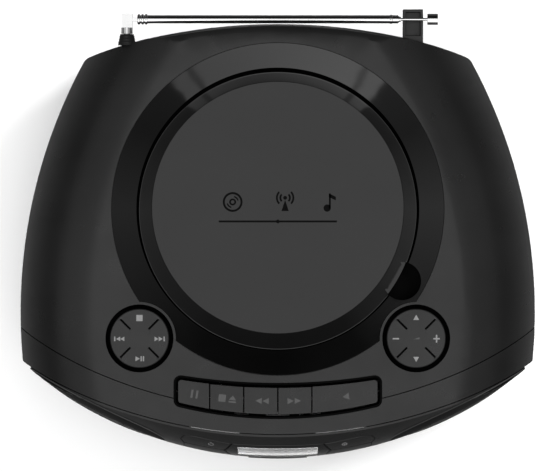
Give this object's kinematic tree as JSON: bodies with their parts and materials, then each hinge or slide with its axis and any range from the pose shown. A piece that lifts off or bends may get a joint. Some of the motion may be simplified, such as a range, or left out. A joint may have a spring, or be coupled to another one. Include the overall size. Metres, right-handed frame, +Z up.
{
  "type": "boombox",
  "caption": "Portable boombox with a round disc lid, cassette keys, two control pads, leaning front with display and speakers, and a telescopic antenna.",
  "frame": {"origin": "on the table, below the middle of the bounding box", "axes": "+X to the right seen from the front, +Y to the rear, +Z up"},
  "size_m": [0.3, 0.2598, 0.139],
  "materials": {
    "casing": "fine satin texture",
    "cabinet": "fine satin texture",
    "deck_gloss": "glossy",
    "lid_gloss": "glossy",
    "control": "satin",
    "dark_frame": "matt",
    "grille": "satin paint over perforated steel",
    "display_panel": "glossy",
    "display_lens": "clear polished",
    "display_cell": "matt",
    "window": "smoked, polished",
    "inner_plastic": "matt",
    "steel": "bright",
    "chrome": "polished",
    "motor_steel": "zinc plated",
    "cone_paper": "pressed pulp",
    "rubber": "matt",
    "board": "solder mask",
    "transformer": "varnished",
    "reel_white": "natural acetal"
  },
  "bodies": {
    "root": {"top_cover": "casing", "rear_cabinet": "cabinet", "front_bezel": "casing", "front_fascia": "casing", "antenna_rest": "casing", "rubber_feet": "rubber", "cabinet_screws": "steel", "deck_ring": "deck_gloss", "disc_tray": "inner_plastic", "lid_hinge_pins": "steel", "spindle_motor": "motor_steel", "sled_rails": "steel", "key_shaft": "steel", "key_frame": "dark_frame", "speaker_grilles": "grille", "speaker_frames": "motor_steel", "speaker_cones": "cone_paper", "display_panel": "display_panel", "display_lens": "display_lens", "lcd_module": "display_cell", "cassette_chassis": "inner_plastic", "tape_head": "steel", "tape_motor": "motor_steel", "drive_belt": "rubber", "antenna_socket": "dark_frame", "main_board": "board", "transformer": "transformer", "ac_inlet": "dark_frame", "audio_jack": "chrome"},
    "lid": {"lid_ring": "lid_gloss", "lid_plate": "lid_gloss"},
    "clamper": {"disc_clamper": "reel_white"},
    "spindle": {"spindle_hub": "inner_plastic"},
    "sled": {"laser_sled": "inner_plastic"},
    "pause_key": {"key_pause": "control"},
    "stop_key": {"key_stop": "control"},
    "rewind_key": {"key_rewind": "control"},
    "forward_key": {"key_forward": "control"},
    "play_key": {"key_play": "control"},
    "left_pad_gimbal": {"left_pad_pivot": "inner_plastic"},
    "left_pad_cap": {"left_pad": "control"},
    "right_pad_gimbal": {"right_pad_pivot": "inner_plastic"},
    "right_pad_cap": {"right_pad": "control"},
    "left_upper_button": {"left_upper_button": "control"},
    "left_lower_button": {"left_lower_button": "control"},
    "right_upper_button": {"right_upper_button": "control"},
    "right_lower_button": {"right_lower_button": "control"},
    "tape_door": {"cassette_door": "casing", "cassette_window": "window"},
    "supply": {"supply_reel": "reel_white"},
    "takeup": {"takeup_reel": "reel_white"},
    "flywheel": {"capstan_flywheel": "steel"},
    "pulley": {"motor_pulley": "reel_white"},
    "roller": {"pinch_roller": "rubber"},
    "antenna_turret": {"antenna_knuckle": "chrome"},
    "antenna_outer": {"antenna_tube_outer": "chrome"},
    "antenna_middle": {"antenna_tube_middle": "chrome"},
    "antenna_inner": {"antenna_tube_inner": "chrome"},
    "antenna_tip": {"antenna_rod": "chrome"},
    "battery_cover": {"battery_door": "cabinet"}
  },
  "joints": [
    {"name": "lid_hinge", "type": "hinge", "parent": "root", "child": "lid", "pos_m": [0, 0.101, 0.13], "axis": [-1, 0, 0], "range_deg": [0, 55]},
    {"name": "clamper_spin", "type": "hinge", "parent": "lid", "child": "clamper", "pos_m": [0, 0.0145, 0.125], "axis": [0, 0, 1], "continuous": true},
    {"name": "spindle_spin", "type": "hinge", "parent": "root", "child": "spindle", "pos_m": [0, 0.0145, 0.115], "axis": [0, 0, 1], "continuous": true},
    {"name": "sled_travel", "type": "slide", "parent": "root", "child": "sled", "axis": [0, -1, 0], "range_m": [0, 0.03]},
    {"name": "pause_key_press", "type": "hinge", "parent": "root", "child": "pause_key", "pos_m": [0, -0.072, 0.13], "axis": [1, 0, 0], "range_deg": [0, 8], "stiffness_Nm_per_rad": 0.6, "springref_deg": -6.88},
    {"name": "stop_key_press", "type": "hinge", "parent": "root", "child": "stop_key", "pos_m": [0, -0.072, 0.13], "axis": [1, 0, 0], "range_deg": [0, 8], "stiffness_Nm_per_rad": 0.6, "springref_deg": -6.88},
    {"name": "rewind_key_press", "type": "hinge", "parent": "root", "child": "rewind_key", "pos_m": [0, -0.072, 0.13], "axis": [1, 0, 0], "range_deg": [0, 8], "stiffness_Nm_per_rad": 0.6, "springref_deg": -6.88},
    {"name": "forward_key_press", "type": "hinge", "parent": "root", "child": "forward_key", "pos_m": [0, -0.072, 0.13], "axis": [1, 0, 0], "range_deg": [0, 8], "stiffness_Nm_per_rad": 0.6, "springref_deg": -6.88},
    {"name": "play_key_press", "type": "hinge", "parent": "root", "child": "play_key", "pos_m": [0, -0.072, 0.13], "axis": [1, 0, 0], "range_deg": [0, 8], "stiffness_Nm_per_rad": 0.6, "springref_deg": -6.88},
    {"name": "left_pad_tilt_front", "type": "hinge", "parent": "root", "child": "left_pad_gimbal", "pos_m": [-0.0795, -0.0598, 0.131], "axis": [1, 0, 0], "range_deg": [-3.5, 3.5], "stiffness_Nm_per_rad": 0.4},
    {"name": "left_pad_tilt_side", "type": "hinge", "parent": "left_pad_gimbal", "child": "left_pad_cap", "pos_m": [-0.0795, -0.0598, 0.131], "axis": [0, 1, 0], "range_deg": [-3.5, 3.5], "stiffness_Nm_per_rad": 0.4},
    {"name": "right_pad_tilt_front", "type": "hinge", "parent": "root", "child": "right_pad_gimbal", "pos_m": [0.0795, -0.0598, 0.131], "axis": [1, 0, 0], "range_deg": [-3.5, 3.5], "stiffness_Nm_per_rad": 0.4},
    {"name": "right_pad_tilt_side", "type": "hinge", "parent": "right_pad_gimbal", "child": "right_pad_cap", "pos_m": [0.0795, -0.0598, 0.131], "axis": [0, 1, 0], "range_deg": [-3.5, 3.5], "stiffness_Nm_per_rad": 0.4},
    {"name": "left_upper_press", "type": "slide", "parent": "root", "child": "left_upper_button", "axis": [0, 0.866, -0.5], "range_m": [0, 0.0008], "stiffness_N_per_m": 400, "springref_m": -0.0003},
    {"name": "left_lower_press", "type": "slide", "parent": "root", "child": "left_lower_button", "axis": [0, 0.866, -0.5], "range_m": [0, 0.0008], "stiffness_N_per_m": 400, "springref_m": -0.0003},
    {"name": "right_upper_press", "type": "slide", "parent": "root", "child": "right_upper_button", "axis": [0, 0.866, -0.5], "range_m": [0, 0.0008], "stiffness_N_per_m": 400, "springref_m": -0.0003},
    {"name": "right_lower_press", "type": "slide", "parent": "root", "child": "right_lower_button", "axis": [0, 0.866, -0.5], "range_m": [0, 0.0008], "stiffness_N_per_m": 400, "springref_m": -0.0003},
    {"name": "tape_door_hinge", "type": "hinge", "parent": "root", "child": "tape_door", "pos_m": [0, -0.1135, 0.014], "axis": [1, 0, 0], "range_deg": [0, 28]},
    {"name": "supply_spin", "type": "hinge", "parent": "root", "child": "supply", "pos_m": [-0.02125, -0.1, 0.056], "axis": [0, 1, 0], "continuous": true},
    {"name": "takeup_spin", "type": "hinge", "parent": "root", "child": "takeup", "pos_m": [0.02125, -0.1, 0.056], "axis": [0, 1, 0], "continuous": true},
    {"name": "flywheel_spin", "type": "hinge", "parent": "root", "child": "flywheel", "pos_m": [0.014, -0.092, 0.074], "axis": [0, 1, 0], "continuous": true},
    {"name": "pulley_spin", "type": "hinge", "parent": "root", "child": "pulley", "pos_m": [-0.034, -0.091, 0.03], "axis": [0, 1, 0], "continuous": true},
    {"name": "roller_spin", "type": "hinge", "parent": "root", "child": "roller", "pos_m": [0.014, -0.105, 0.067], "axis": [0, 1, 0], "continuous": true},
    {"name": "antenna_swivel", "type": "hinge", "parent": "root", "child": "antenna_turret", "pos_m": [-0.087, 0.124, 0.127], "axis": [0, -1, 0], "range_deg": [0, 180]},
    {"name": "antenna_elbow", "type": "hinge", "parent": "antenna_turret", "child": "antenna_outer", "pos_m": [-0.087, 0.124, 0.127], "axis": [0, 0, 1], "range_deg": [0, 90]},
    {"name": "antenna_middle_slide", "type": "slide", "parent": "antenna_outer", "child": "antenna_middle", "axis": [1, 0, 0], "range_m": [0, 0.13]},
    {"name": "antenna_inner_slide", "type": "slide", "parent": "antenna_middle", "child": "antenna_inner", "axis": [1, 0, 0], "range_m": [0, 0.13]},
    {"name": "antenna_tip_slide", "type": "slide", "parent": "antenna_inner", "child": "antenna_tip", "axis": [1, 0, 0], "range_m": [0, 0.135]},
    {"name": "battery_cover_slide", "type": "slide", "parent": "root", "child": "battery_cover", "axis": [0, 1, 0], "range_m": [0, 0.03]}
  ],
  "couplings": [
    {"joint": "pulley_spin", "follows": "flywheel_spin", "ratio": 3.4}
  ]
}
